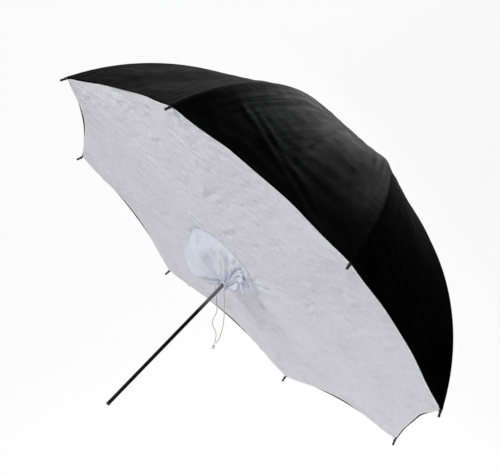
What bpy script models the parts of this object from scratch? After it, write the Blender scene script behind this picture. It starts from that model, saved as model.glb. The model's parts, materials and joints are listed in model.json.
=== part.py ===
"""An umbrella reflector with a white front diffuser, for studio lighting.

Every piece is modelled in the umbrella's own coordinates: the shaft is the z axis, +z points at the
crown, x points along the first rib and z = 0 is the open face, where the stand's bracket grips the shaft.
An empty at the grip then tilts the whole umbrella to its working angle. Units are metres.
"""

import math

import bmesh
import bpy
from mathutils import Matrix, Vector

# Working angle of the umbrella
SHAFT_TILT_DEG = 43.3
FIRST_RIB_ROLL_DEG = 176.66

# Canopy
RIB_COUNT = 8
RIB_STEP = math.tau / RIB_COUNT
FACE_RADIUS = 0.54
DOME_CENTRE_DROP = 0.216
DOME_RADIUS = math.hypot(FACE_RADIUS, DOME_CENTRE_DROP)
CROWN_HEIGHT = DOME_RADIUS - DOME_CENTRE_DROP
RIM_ANGLE = math.asin(FACE_RADIUS / DOME_RADIUS)
RIM_SCALLOP = 0.017
PANEL_HOLLOW = 0.012
FABRIC = 0.0008
CROWN_HOLE_RADIUS = 0.0056
GORE_ROWS = 13
GORE_COLUMNS = 6

# Shaft
SHAFT_RADIUS = 0.004
SHAFT_BORE_RADIUS = 0.003
SHAFT_BELOW_FACE = 0.397
CAP_SOCKET_DEPTH = 0.008

# Clearances
RUNNING_GAP = 0.0003
SEAM_GAP = 0.0004

# Ribs, clips and stretchers
RIB_RADIUS = 0.0016
RIB_UNDER_FABRIC = 0.0030
RIB_DROP_AT_HUB = 0.0022
RIB_DROP_FADE = 0.030
RIB_PAST_RIM = 0.0072
HUB_PIVOT_RADIUS = 0.0115
EYE_RADIUS = 0.0025
EYE_THICKNESS = 0.0024
PIVOT_HOLE_RADIUS = 0.0009
CLIP_ROW = 4
CLIP_PIVOT_DEPTH = 0.0060
STRETCHER_HALF_WIDTH = 0.0015
STRETCHER_EYE_RADIUS = 0.0022
SNAP_PIN_RADIUS = 0.0007
SNAP_PIN_HALF_LENGTH = 0.0030
CLOSED_TIP_RADIUS = 0.050
TIP_START = 0.0006
TIP_LENGTH = 0.0150

# Crown notch and runner
HUB_RADIUS = 0.014
HUB_SLOT_HALF_WIDTH = 0.0019
HUB_SLOT_FLOOR = 0.0085
NOTCH_HALF_HEIGHT = 0.0036
WIRE_RADIUS = 0.00055
WIRE_GROOVE_FLOOR = 0.0103
WIRE_GROOVE_HALF_HEIGHT = 0.0009
RUNNER_FLANGE_HALF_HEIGHT = 0.0045
RUNNER_BODY_RADIUS = 0.0078
RUNNER_GRIP_RADIUS = 0.0095
RUNNER_LENGTH = 0.060
RUNNER_STOP_HEIGHT = 0.004

# Catch that holds the runner up
CATCH_AZIMUTH = RIB_STEP / 2
CATCH_HALF_WIDTH = 0.0008
CATCH_REACH = 0.0059
CATCH_NOSE = 0.0130

# Diffuser and its sleeve
DIFFUSER_CORNER_INSET = 0.0065
DIFFUSER_EDGE_INSET = 0.0014
DIFFUSER_DISH = 0.012
SLEEVE_BASE_CENTRE = Vector((0.042, -0.010, 0.0))
SLEEVE_BASE_RADIUS = 0.088
# Where the sleeve folds over on its way in to its drawn mouth, at equal steps of azimuth from +x
SLEEVE_FOLD = [
    Vector((0.047, -0.014, -0.067)),
    Vector((0.028, 0.014, -0.046)),
    Vector((0.018, 0.036, -0.027)),
    Vector((-0.002, 0.040, -0.026)),
    Vector((-0.020, 0.012, -0.036)),
    Vector((-0.014, -0.012, -0.046)),
    Vector((0.010, -0.024, -0.060)),
    Vector((0.044, -0.036, -0.073)),
]
SLEEVE_SHOULDER_REACH = Vector((0.36, 0.36, 0.70))
SLEEVE_MOUTH_RADIUS = 0.0085
SLEEVE_MOUTH_HEIGHT = -0.0475
SLEEVE_WALL = 0.0010

# Drawstring, in the upright frame of the whole object
CORD_RADIUS = 0.0009
CORD_LEFT = [
    (-0.0442, 0.0125, -0.0344),
    (-0.0486, 0.0184, -0.0384),
    (-0.0484, 0.0172, -0.0530),
    (-0.0489, 0.0110, -0.0740),
    (-0.0494, 0.0092, -0.0931),
    (-0.0598, 0.0088, -0.1167),
    (-0.0541, 0.0020, -0.1400),
    (-0.0582, -0.0006, -0.1612),
]
CORD_RIGHT = [
    (-0.0373, -0.0131, -0.0369),
    (-0.0412, -0.0158, -0.0420),
    (-0.0425, -0.0152, -0.0540),
    (-0.0420, -0.0163, -0.0694),
    (-0.0447, -0.0190, -0.1124),
    (-0.0500, -0.0120, -0.1440),
    (-0.0560, -0.0050, -0.1590),
]
KNOT_CENTRE = (-0.0612, -0.0006, -0.1670)
KNOT_RADII = (0.0052, 0.0042, 0.0056)

IN_PLANE = Matrix.Rotation(math.pi / 2, 4, "X")


# ---------------------------------------------------------------- geometry rules


def fabric_point(angle):
    """Outer face of the canopy over a rib: radius from the shaft and height."""
    return Vector(
        (DOME_RADIUS * math.sin(angle), 0, DOME_RADIUS * math.cos(angle) - DOME_CENTRE_DROP)
    )


def inward(angle):
    return Vector((-math.sin(angle), 0, -math.cos(angle)))


def rib_point(angle):
    """Centre line of a rib. It hangs a little lower at the crown, where its eye sits in the notch."""
    past_hub = max(0.0, DOME_RADIUS * angle - HUB_PIVOT_RADIUS)
    drop = RIB_UNDER_FABRIC + RIB_DROP_AT_HUB * math.exp(-past_hub / RIB_DROP_FADE)
    return fabric_point(angle) + inward(angle) * drop


HUB_ANGLE = HUB_PIVOT_RADIUS / DOME_RADIUS
HUB_PIVOT = Vector((HUB_PIVOT_RADIUS, 0, rib_point(HUB_ANGLE).z))
FIRST_ANGLE = math.asin(CROWN_HOLE_RADIUS / DOME_RADIUS)
ROW_ANGLE = (RIM_ANGLE - FIRST_ANGLE) / GORE_ROWS
CLIP_ANGLE = FIRST_ANGLE + ROW_ANGLE * CLIP_ROW
CLIP_PIVOT = rib_point(CLIP_ANGLE) + inward(CLIP_ANGLE) * CLIP_PIVOT_DEPTH
STRETCHER_LENGTH = (CLIP_PIVOT - HUB_PIVOT).length
OPEN_ANGLE = math.atan2(CLIP_PIVOT.x - HUB_PIVOT.x, HUB_PIVOT.z - CLIP_PIVOT.z)
RUNNER_PIVOT = HUB_PIVOT - Vector((0, 0, 2 * STRETCHER_LENGTH * math.cos(OPEN_ANGLE)))
RIM_POINT = rib_point(RIM_ANGLE)
DIFFUSER_CORNER = Vector((FACE_RADIUS - DIFFUSER_CORNER_INSET, 0, 0))


def folded_angles():
    """How far a rib turns from open to closed, and how far the runner slides meanwhile."""
    reach = (RIM_POINT - HUB_PIVOT).length
    rim_from_shaft = math.atan2(RIM_POINT.x - HUB_PIVOT.x, HUB_PIVOT.z - RIM_POINT.z)
    turn = rim_from_shaft - math.asin((CLOSED_TIP_RADIUS - HUB_PIVOT_RADIUS) / reach)
    travel = 2 * STRETCHER_LENGTH * (math.cos(OPEN_ANGLE - turn) - math.cos(OPEN_ANGLE))
    return turn, travel


def panel_point(angle_share, across, depth=0.0):
    """A point of one gore. across runs from -1 to 1, from seam to seam, with the rib at 0."""
    blend = abs(across) / 2
    bow = 4 * blend * (1 - blend)
    last = RIM_ANGLE - RIM_SCALLOP / DOME_RADIUS * bow
    angle = FIRST_ANGLE + (last - FIRST_ANGLE) * angle_share
    on_rib = fabric_point(angle)
    width = 2 * on_rib.x * math.sin(RIB_STEP / 2)
    if abs(across) == 1:
        blend -= SEAM_GAP / 2 / width
    side = math.copysign(1, across)
    neighbour = Matrix.Rotation(side * RIB_STEP, 3, "Z") @ on_rib
    towards_dome_centre = Matrix.Rotation(side * blend * RIB_STEP, 3, "Z") @ inward(angle)
    point = on_rib.lerp(neighbour, blend)
    return point + towards_dome_centre * (PANEL_HOLLOW * width * bow + depth)


def sleeve_hole_distance(azimuth):
    """Distance from the shaft to the edge of the diffuser's hole, which isn't centred on the shaft."""
    direction = Vector((math.cos(azimuth), math.sin(azimuth), 0))
    along = SLEEVE_BASE_CENTRE.dot(direction)
    aside = (SLEEVE_BASE_CENTRE - direction * along).length
    return along + math.sqrt(SLEEVE_BASE_RADIUS**2 - aside**2)


# ---------------------------------------------------------------- mesh helpers


def finished(bm, name):
    bmesh.ops.remove_doubles(bm, verts=bm.verts, dist=1e-6)
    bmesh.ops.recalc_face_normals(bm, faces=bm.faces)
    mesh = bpy.data.meshes.new(name)
    bm.to_mesh(mesh)
    bm.free()
    mesh.shade_smooth()
    mesh.set_sharp_from_angle(angle=math.radians(35))
    return mesh


def lathe(name, profile, segments, closed_loop=True):
    """A turned solid. An open profile starts and ends on the axis."""
    bm = bmesh.new()
    verts = [bm.verts.new((radius, 0, height)) for radius, height in profile]
    pairs = list(zip(verts, verts[1:] + verts[:1]))
    edges = [bm.edges.new(pair) for pair in (pairs if closed_loop else pairs[:-1])]
    bmesh.ops.spin(
        bm, geom=verts + edges, cent=(0, 0, 0), axis=(0, 0, 1), angle=math.tau, steps=segments
    )
    return finished(bm, name)


def prism(name, outline, low, high):
    """An outline in x and y, extruded from one height to another."""
    bm = bmesh.new()
    face = bm.faces.new([bm.verts.new((x, y, low)) for x, y in outline])
    grown = bmesh.ops.extrude_face_region(bm, geom=[face])
    top = [item for item in grown["geom"] if isinstance(item, bmesh.types.BMVert)]
    bmesh.ops.translate(bm, verts=top, vec=(0, 0, high - low))
    return finished(bm, name)


def swept_rod(name, path, radius, sides):
    """A round rod along a path in the x-z plane."""
    bm = bmesh.new()
    rings = []
    for index, point in enumerate(path):
        ahead = path[min(index + 1, len(path) - 1)] - path[max(index - 1, 0)]
        across = ahead.normalized().cross(Vector((0, 1, 0)))
        ring = []
        for turn in range(sides):
            angle = math.tau * turn / sides
            offset = across * math.cos(angle) + Vector((0, 1, 0)) * math.sin(angle)
            ring.append(bm.verts.new(point + offset * radius))
        rings.append(ring)
    for ring, after in zip(rings, rings[1:]):
        for turn in range(sides):
            other = (turn + 1) % sides
            bm.faces.new((ring[turn], ring[other], after[other], after[turn]))
    bm.faces.new(rings[0])
    bm.faces.new(rings[-1])
    return finished(bm, name)


def sheet(name, surface, rows, columns):
    """A thin closed sheet. surface(row share, across, depth) gives the outer and inner faces."""
    bm = bmesh.new()
    grids = []
    for depth in (0.0, FABRIC):
        grid = []
        for row in range(rows + 1):
            places = [2 * column / columns - 1 for column in range(columns + 1)]
            grid.append([bm.verts.new(surface(row / rows, across, depth)) for across in places])
        grids.append(grid)
    outer, inner = grids
    for row in range(rows):
        for column in range(columns):
            for grid in grids:
                corners = (grid[row][column], grid[row][column + 1])
                bm.faces.new(corners + (grid[row + 1][column + 1], grid[row + 1][column]))
    rim = [(0, column) for column in range(columns)]
    rim += [(row, columns) for row in range(rows)]
    rim += [(rows, column) for column in range(columns, 0, -1)]
    rim += [(row, 0) for row in range(rows, 0, -1)]
    for (row, column), (next_row, next_column) in zip(rim, rim[1:] + rim[:1]):
        edge = (outer[row][column], outer[next_row][next_column])
        bm.faces.new(edge + (inner[next_row][next_column], inner[row][column]))
    return finished(bm, name)


def boolean(mesh, other, operation):
    """The union or difference of two meshes, as a new mesh. Both inputs are used up."""
    name = mesh.name
    body = bpy.data.objects.new("boolean_body", mesh)
    tool = bpy.data.objects.new("boolean_tool", other)
    for obj in (body, tool):
        bpy.context.scene.collection.objects.link(obj)
    modifier = body.modifiers.new("Combine", "BOOLEAN")
    modifier.operation = operation
    modifier.object = tool
    bpy.context.view_layer.update()
    graph = bpy.context.evaluated_depsgraph_get()
    result = bpy.data.meshes.new_from_object(body.evaluated_get(graph))
    for obj in (body, tool):
        bpy.data.objects.remove(obj)
    for used in (mesh, other):
        bpy.data.meshes.remove(used)
    result.name = name
    result.shade_smooth()
    result.set_sharp_from_angle(angle=math.radians(35))
    return result


def moved(mesh, matrix):
    mesh.transform(matrix)
    return mesh


def turned_copies(outline, count, low, high):
    """One mesh holding an outline's prism, repeated round the z axis."""
    bm = bmesh.new()
    for step in range(count):
        turn = Matrix.Rotation(math.tau * step / count, 3, "Z")
        corners = [turn @ Vector((x, y, low)) for x, y in outline]
        face = bm.faces.new([bm.verts.new(corner) for corner in corners])
        grown = bmesh.ops.extrude_face_region(bm, geom=[face])
        top = [item for item in grown["geom"] if isinstance(item, bmesh.types.BMVert)]
        bmesh.ops.translate(bm, verts=top, vec=(0, 0, high - low))
    return finished(bm, "slots")


def bar_outline(radius, half_width, length, arc_steps=6):
    """A bar with a round eye at each end, in x and y, starting at the origin."""
    waist = math.asin(half_width / radius)
    outline = []
    for centre, start in ((0.0, waist), (length, waist - math.pi)):
        sweep = math.tau - 2 * waist
        for step in range(arc_steps + 1):
            angle = start + sweep * step / arc_steps
            outline.append((centre + radius * math.cos(angle), radius * math.sin(angle)))
    return outline


# ---------------------------------------------------------------- materials and placing


def material(name, colour, roughness, metallic=0.0):
    made = bpy.data.materials.new(name)
    made.use_nodes = True
    shader = made.node_tree.nodes["Principled BSDF"]
    shader.inputs["Base Color"].default_value = (*colour, 1)
    shader.inputs["Roughness"].default_value = roughness
    shader.inputs["Metallic"].default_value = metallic
    made.diffuse_color = (*colour, 1)
    return made


def empty(name, parent=None, matrix=None):
    made = bpy.data.objects.new(name, None)
    made.empty_display_size = 0.02
    bpy.context.scene.collection.objects.link(made)
    made.parent = parent
    made.matrix_local = matrix or Matrix()
    return made


def place(name, mesh, finish, parent, matrix=None):
    made = bpy.data.objects.new(name, mesh)
    bpy.context.scene.collection.objects.link(made)
    made.parent = parent
    made.matrix_local = matrix or Matrix()
    if not mesh.materials:
        mesh.materials.append(finish)
    return made


# ---------------------------------------------------------------- pieces on the shaft


def build_shaft(finish, frame):
    low, high = -SHAFT_BELOW_FACE, CROWN_HEIGHT + CAP_SOCKET_DEPTH
    profile = [(SHAFT_RADIUS, high), (SHAFT_RADIUS, low)]
    profile += [(SHAFT_BORE_RADIUS, low), (SHAFT_BORE_RADIUS, high)]
    mesh = lathe("shaft", profile, 20)
    half = CATCH_HALF_WIDTH + 0.0004
    slot = prism(
        "slot",
        [(0.002, -half), (0.005, -half), (0.005, half), (0.002, half)],
        catch_height() - CATCH_NOSE - 0.0006,
        catch_height() + 0.0006,
    )
    moved(slot, Matrix.Rotation(CATCH_AZIMUTH, 4, "Z"))
    place("shaft", boolean(mesh, slot, "DIFFERENCE"), finish, frame)


def build_shaft_plug(finish, frame):
    end = -SHAFT_BELOW_FACE
    stem = SHAFT_BORE_RADIUS - RUNNING_GAP
    head = SHAFT_RADIUS + 0.0004
    profile = [(0, end + 0.012), (stem - 0.0006, end + 0.012), (stem, end + 0.010)]
    profile += [(stem, end - RUNNING_GAP), (head, end - RUNNING_GAP), (head, end - 0.0040)]
    profile += [(head - 0.0010, end - 0.0050), (0, end - 0.0050)]
    place("shaft_end_plug", lathe("shaft_end_plug", profile, 20, closed_loop=False), finish, frame)


def build_top_cap(finish, frame):
    seat = CROWN_HEIGHT + 0.0005
    bore = SHAFT_RADIUS + RUNNING_GAP
    socket = CROWN_HEIGHT + CAP_SOCKET_DEPTH + RUNNING_GAP
    top = socket + 0.0030
    profile = [(0, top), (0.0055, top), (0.0068, top - 0.0012), (0.0078, seat + 0.0030)]
    profile += [(0.0135, seat + 0.0012), (0.0140, seat), (bore, seat), (bore, socket), (0, socket)]
    place("top_cap", lathe("top_cap", profile, 24, closed_loop=False), finish, frame)


def build_notch(finish, frame):
    bore = SHAFT_RADIUS + RUNNING_GAP
    middle, half, groove = HUB_PIVOT.z, NOTCH_HALF_HEIGHT, WIRE_GROOVE_HALF_HEIGHT
    profile = [(HUB_RADIUS, middle + half), (HUB_RADIUS, middle + groove)]
    profile += [(WIRE_GROOVE_FLOOR, middle + groove), (WIRE_GROOVE_FLOOR, middle - groove)]
    profile += [(HUB_RADIUS, middle - groove), (HUB_RADIUS, middle - half)]
    profile += [(bore, middle - half), (bore, middle + half)]
    mesh = lathe("notch", profile, 24)
    edge = HUB_SLOT_HALF_WIDTH
    slot = [(HUB_SLOT_FLOOR, -edge), (0.02, -edge), (0.02, edge), (HUB_SLOT_FLOOR, edge)]
    cutter = turned_copies(slot, RIB_COUNT, middle - 0.01, middle + 0.01)
    place("notch", boolean(mesh, cutter, "DIFFERENCE"), finish, frame)


def build_notch_wire(finish, frame):
    sides = 6
    profile = []
    for side in range(sides):
        angle = -math.tau * side / sides
        radius = HUB_PIVOT_RADIUS + WIRE_RADIUS * math.cos(angle)
        profile.append((radius, HUB_PIVOT.z + WIRE_RADIUS * math.sin(angle)))
    place("notch_wire", lathe("notch_wire", profile, 24), finish, frame)


def build_runner_stop(finish, frame):
    low = RUNNER_PIVOT.z + RUNNER_FLANGE_HALF_HEIGHT + RUNNING_GAP
    high = low + RUNNER_STOP_HEIGHT
    bore = SHAFT_RADIUS + RUNNING_GAP
    profile = [(0.0066, high - 0.0008), (0.0066, low), (bore, low), (bore, high), (0.0058, high)]
    place("runner_stop", lathe("runner_stop", profile, 20), finish, frame)


def build_runner(finish, frame):
    slider = empty("runner_slider", frame, Matrix.Translation((0, 0, RUNNER_PIVOT.z)))
    flange, end = RUNNER_FLANGE_HALF_HEIGHT, -RUNNER_LENGTH
    bore = SHAFT_RADIUS + RUNNING_GAP
    profile = [(HUB_RADIUS, flange), (HUB_RADIUS, -flange), (RUNNER_BODY_RADIUS, -flange)]
    profile += [(RUNNER_BODY_RADIUS, end + 0.012), (RUNNER_GRIP_RADIUS, end + 0.005)]
    profile += [(RUNNER_GRIP_RADIUS, end), (bore, end), (bore, flange)]
    mesh = lathe("runner", profile, 24)
    edge, pocket = HUB_SLOT_HALF_WIDTH, SNAP_PIN_HALF_LENGTH + 0.0004
    near, far = HUB_PIVOT_RADIUS - 0.0011, HUB_PIVOT_RADIUS + 0.0011
    slot = [(HUB_SLOT_FLOOR, -edge), (near, -edge), (near, -pocket), (far, -pocket)]
    slot += [(far, -edge), (0.02, -edge), (0.02, edge), (far, edge), (far, pocket)]
    slot += [(near, pocket), (near, edge), (HUB_SLOT_FLOOR, edge)]
    mesh = boolean(mesh, turned_copies(slot, RIB_COUNT, -0.006, 0.006), "DIFFERENCE")
    side, floor = CATCH_HALF_WIDTH + 0.0006, CATCH_REACH + 0.0006
    keyway = [(0.002, -side), (floor, -side), (floor, side), (0.002, side)]
    cutter = prism("keyway", keyway, end - 0.005, flange + 0.005)
    moved(cutter, Matrix.Rotation(CATCH_AZIMUTH, 4, "Z"))
    place("runner", boolean(mesh, cutter, "DIFFERENCE"), finish, slider)


def catch_height():
    """Height of the catch's flat top, just under the end of the open runner."""
    return RUNNER_PIVOT.z - RUNNER_LENGTH - 0.0004


def build_catch(finish, frame):
    place_here = Matrix.Translation((0, 0, catch_height()))
    slider = empty("catch_slider", frame, place_here @ Matrix.Rotation(CATCH_AZIMUTH, 4, "Z"))
    outline = [(0.0005, 0.0020), (0.0025, 0.0020), (0.0025, 0.0), (CATCH_REACH, 0.0)]
    outline += [(CATCH_REACH, -0.0030), (0.0025, -CATCH_NOSE), (0.0025, -0.0200), (0.0005, -0.0200)]
    mesh = prism("catch_spring", outline, -CATCH_HALF_WIDTH, CATCH_HALF_WIDTH)
    place("catch_spring", moved(mesh, IN_PLANE), finish, slider)


# ---------------------------------------------------------------- ribs and stretchers


def rib_mesh():
    angles = [HUB_ANGLE]
    angles += [FIRST_ANGLE + ROW_ANGLE * row for row in range(1, GORE_ROWS + 1)]
    angles.append(RIM_ANGLE + RIB_PAST_RIM / DOME_RADIUS)
    path = [rib_point(angle) for angle in angles]
    path[0].x += EYE_RADIUS * 0.4
    rod = swept_rod("rib", path, RIB_RADIUS, 6)
    half = EYE_THICKNESS / 2
    to_pivot = Matrix.Translation(HUB_PIVOT) @ IN_PLANE
    eye = moved(lathe("eye", [(0, half), (EYE_RADIUS, half), (EYE_RADIUS, -half), (0, -half)], 14,
                      closed_loop=False), to_pivot)
    hole = moved(lathe("hole", [(0, 0.003), (PIVOT_HOLE_RADIUS, 0.003), (PIVOT_HOLE_RADIUS, -0.003),
                                (0, -0.003)], 10, closed_loop=False), to_pivot)
    return boolean(boolean(rod, eye, "UNION"), hole, "DIFFERENCE")


def tip_mesh():
    """A blunt plastic cap with a socket for the rib's end, along its own z axis."""
    socket, wall = RIB_RADIUS + RUNNING_GAP, 0.0007
    depth = RIB_PAST_RIM + RUNNING_GAP
    profile = [(socket, TIP_START), (socket, depth), (0, depth)]
    profile += [(0, TIP_LENGTH), (0.0014, TIP_LENGTH - 0.0002), (0.0025, TIP_LENGTH - 0.0016)]
    profile += [(0.0026, TIP_LENGTH - 0.0050), (0.0031, 0.0045), (socket + wall, TIP_START)]
    bm = bmesh.new()
    verts = [bm.verts.new((radius, 0, height)) for radius, height in profile]
    edges = [
        bm.edges.new(pair)
        for pair in zip(verts, verts[1:] + verts[:1])
        if pair != (verts[2], verts[3])
    ]
    bmesh.ops.spin(bm, geom=verts + edges, cent=(0, 0, 0), axis=(0, 0, 1), angle=math.tau, steps=10)
    return finished(bm, "rib_tip")


def box_mesh(name, low, high):
    outline = [(low[0], low[1]), (high[0], low[1]), (high[0], high[1]), (low[0], high[1])]
    return prism(name, outline, low[2], high[2])


def clip_mesh():
    """A fork that carries the stretcher's pivot under the rib. Its own z axis points to the rib."""
    half_length, plate, gap = 0.0045, 0.0010, RIB_RADIUS + 0.0004
    tail, floor_top = -0.0022, CLIP_PIVOT_DEPTH - RIB_RADIUS - 0.0004
    top = CLIP_PIVOT_DEPTH + 0.0002
    mesh = box_mesh(
        "rib_clip", (-half_length, -gap - plate, floor_top - 0.0009), (half_length, gap + plate, floor_top)
    )
    for side in (-1, 1):
        near, far = sorted((side * gap, side * (gap + plate)))
        cheek = box_mesh("cheek", (-half_length, near, tail), (half_length, far, top))
        mesh = boolean(mesh, cheek, "UNION")
    reach = gap + plate * 0.6
    pin_radius = PIVOT_HOLE_RADIUS - 0.0003
    pin = [(0, reach), (pin_radius, reach), (pin_radius, -reach), (0, -reach)]
    rivet = moved(lathe("rivet", pin, 10, closed_loop=False), IN_PLANE)
    return boolean(mesh, rivet, "UNION")


def stretcher_mesh():
    """A flat steel bar along its own x axis. The clip's rivet goes through one eye, and two snap pins
    on the other eye sit in the runner's slot."""
    half = EYE_THICKNESS / 2
    outline = bar_outline(STRETCHER_EYE_RADIUS, STRETCHER_HALF_WIDTH, STRETCHER_LENGTH)
    bar = prism("stretcher", outline, -half, half)
    hole_radius = PIVOT_HOLE_RADIUS
    hole = [(0, 0.003), (hole_radius, 0.003), (hole_radius, -0.003), (0, -0.003)]
    bar = boolean(bar, lathe("hole", hole, 10, closed_loop=False), "DIFFERENCE")
    length, radius = SNAP_PIN_HALF_LENGTH, SNAP_PIN_RADIUS
    pin = lathe("pin", [(0, length), (radius, length), (radius, -length), (0, -length)], 8,
                closed_loop=False)
    moved(pin, Matrix.Translation((STRETCHER_LENGTH, 0, 0)))
    return moved(boolean(bar, pin, "UNION"), IN_PLANE)


def gore_mesh():
    return sheet("canopy_gore", panel_point, GORE_ROWS, GORE_COLUMNS)


def diffuser_mesh(index):
    """One gore of the white front sheet, from the sleeve's hole to the rim, in its rib's own frame."""

    def surface(share, across, depth):
        blend = abs(across) / 2
        bow = 4 * blend * (1 - blend)
        inset = DIFFUSER_CORNER_INSET + (DIFFUSER_EDGE_INSET - DIFFUSER_CORNER_INSET) * bow
        edge = panel_point(1, across, FABRIC)
        azimuth = math.atan2(edge.y, edge.x)
        if abs(across) == 1:
            azimuth = math.copysign(RIB_STEP / 2, across)
        direction = Vector((math.cos(azimuth), math.sin(azimuth), 0))
        hole = sleeve_hole_distance(azimuth + index * RIB_STEP)
        distance = hole + (math.hypot(edge.x, edge.y) - inset - hole) * share
        height = -DIFFUSER_DISH + (DIFFUSER_DISH + max(edge.z, 0) * bow) * share
        seam = Vector((-direction.y, direction.x, 0)) * math.copysign(SEAM_GAP / 2, across)
        point = direction * distance + Vector((0, 0, height - depth))
        return point - seam if abs(across) == 1 else point

    return sheet(f"diffuser_panel_{index + 1}", surface, 5, 6)


def build_ribs(finishes, frame):
    rib, tip, clip, stretcher, gore = (
        rib_mesh(),
        tip_mesh(),
        clip_mesh(),
        stretcher_mesh(),
        gore_mesh(),
    )
    to_hinge = Matrix.Translation(-HUB_PIVOT)
    rim_turn = Matrix.Rotation(math.pi / 2 + RIM_ANGLE, 4, "Y")
    at_tip = to_hinge @ Matrix.Translation(RIM_POINT) @ rim_turn
    clip_turn = Matrix.Rotation(CLIP_ANGLE, 4, "Y")
    at_clip = to_hinge @ Matrix.Translation(CLIP_PIVOT) @ clip_turn
    stretcher_turn = Matrix.Rotation(math.pi / 2 + OPEN_ANGLE, 4, "Y")
    for index in range(RIB_COUNT):
        number = index + 1
        turn = Matrix.Rotation(index * RIB_STEP, 4, "Z")
        hinge = empty(f"rib_{number}_hinge", frame, turn @ Matrix.Translation(HUB_PIVOT))
        place(f"rib_{number}", rib, finishes["steel_black"], hinge, to_hinge)
        place(f"rib_tip_{number}", tip, finishes["plastic_black"], hinge, at_tip)
        place(f"rib_clip_{number}", clip, finishes["steel"], hinge, at_clip)
        place(f"canopy_gore_{number}", gore, finishes["canopy"], hinge, to_hinge)
        elbow = empty(f"stretcher_{number}_hinge", hinge, Matrix.Translation(CLIP_PIVOT - HUB_PIVOT))
        place(f"stretcher_{number}", stretcher, finishes["steel"], elbow, stretcher_turn)
        corner = empty(
            f"diffuser_{number}_hinge", hinge, Matrix.Translation(DIFFUSER_CORNER - HUB_PIVOT)
        )
        to_corner = Matrix.Translation(-DIFFUSER_CORNER)
        place(f"diffuser_panel_{number}", diffuser_mesh(index), finishes["diffuser"], corner, to_corner)


# ---------------------------------------------------------------- sleeve and drawstring


def through(before, start, end, after, t):
    """A point on the smooth curve through four given ones, between the middle two."""
    return 0.5 * (
        2 * start
        + (end - before) * t
        + (2 * before - 5 * start + 4 * end - after) * t**2
        + (3 * start - before - 3 * end + after) * t**3
    )


def sleeve_column(side, sides):
    """The sleeve's outline at one azimuth: its sewn base, its shoulder, its fold and its drawn mouth."""
    angle = math.tau * side / sides
    ring = Vector((math.cos(angle), math.sin(angle), 0))
    base = SLEEVE_BASE_CENTRE + ring * SLEEVE_BASE_RADIUS
    base.z = -DIFFUSER_DISH - FABRIC - SEAM_GAP
    place_on_ring = len(SLEEVE_FOLD) * side / sides
    at = int(place_on_ring)
    corners = [SLEEVE_FOLD[(at + step) % len(SLEEVE_FOLD)] for step in (-1, 0, 1, 2)]
    fold = through(*corners, place_on_ring - at)
    shoulder = base + (fold - base) * SLEEVE_SHOULDER_REACH
    mouth = ring * SLEEVE_MOUTH_RADIUS + Vector((0, 0, SLEEVE_MOUTH_HEIGHT))
    return [base, shoulder, fold, mouth]


def build_sleeve(finish, frame):
    """A short sock on the diffuser. It folds over itself and its drawstring gathers it round the shaft."""
    steps, sides = 3, 24
    bm = bmesh.new()
    columns = []
    for side in range(sides):
        rows = sleeve_column(side, sides)
        rows = [2 * rows[0] - rows[1]] + rows + [2 * rows[-1] - rows[-2]]
        column = []
        for corners in zip(rows, rows[1:], rows[2:], rows[3:]):
            column += [bm.verts.new(through(*corners, step / steps)) for step in range(steps)]
        column.append(bm.verts.new(rows[-2]))
        columns.append(column)
    for column, after in zip(columns, columns[1:] + columns[:1]):
        for row in range(len(column) - 1):
            bm.faces.new((column[row], column[row + 1], after[row + 1], after[row]))
    made = place("sleeve", finished(bm, "sleeve"), finish, frame)
    skin = made.modifiers.new("wall", "SOLIDIFY")
    skin.thickness = SLEEVE_WALL
    skin.offset = -1


def smooth_path(points, count):
    """Points spread evenly along a smooth curve through the given ones."""
    spread = [Vector(point) for point in points]
    spread = [2 * spread[0] - spread[1]] + spread + [2 * spread[-1] - spread[-2]]
    dense = []
    for before, start, end, after in zip(spread, spread[1:], spread[2:], spread[3:]):
        for step in range(20):
            t = step / 20
            dense.append(
                0.5
                * (
                    2 * start
                    + (end - before) * t
                    + (2 * before - 5 * start + 4 * end - after) * t**2
                    + (3 * start - before - 3 * end + after) * t**3
                )
            )
    dense.append(spread[-2])
    lengths = [0.0]
    for one, two in zip(dense, dense[1:]):
        lengths.append(lengths[-1] + (two - one).length)
    even = []
    at = 0
    for step in range(count):
        target = lengths[-1] * step / (count - 1)
        while at < len(lengths) - 2 and lengths[at + 1] < target:
            at += 1
        share = (target - lengths[at]) / (lengths[at + 1] - lengths[at])
        even.append(dense[at].lerp(dense[at + 1], min(share, 1.0)))
    return even


def build_cord(name, points, finish):
    curve = bpy.data.curves.new(name, "CURVE")
    curve.dimensions = "3D"
    curve.bevel_depth = CORD_RADIUS
    curve.bevel_resolution = 2
    curve.use_fill_caps = True
    path = smooth_path(points, 22)
    spline = curve.splines.new("POLY")
    spline.points.add(len(path) - 1)
    for place_on_spline, point in zip(spline.points, path):
        place_on_spline.co = (*point, 1)
    curve.materials.append(finish)
    made = bpy.data.objects.new(name, curve)
    bpy.context.scene.collection.objects.link(made)


def build_knot(finish):
    bm = bmesh.new()
    bmesh.ops.create_icosphere(bm, subdivisions=2, radius=1)
    bmesh.ops.scale(bm, vec=KNOT_RADII, verts=bm.verts)
    mesh = finished(bm, "drawstring_knot")
    place("drawstring_knot", mesh, finish, None, Matrix.Translation(KNOT_CENTRE))


# ---------------------------------------------------------------- the whole umbrella


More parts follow.
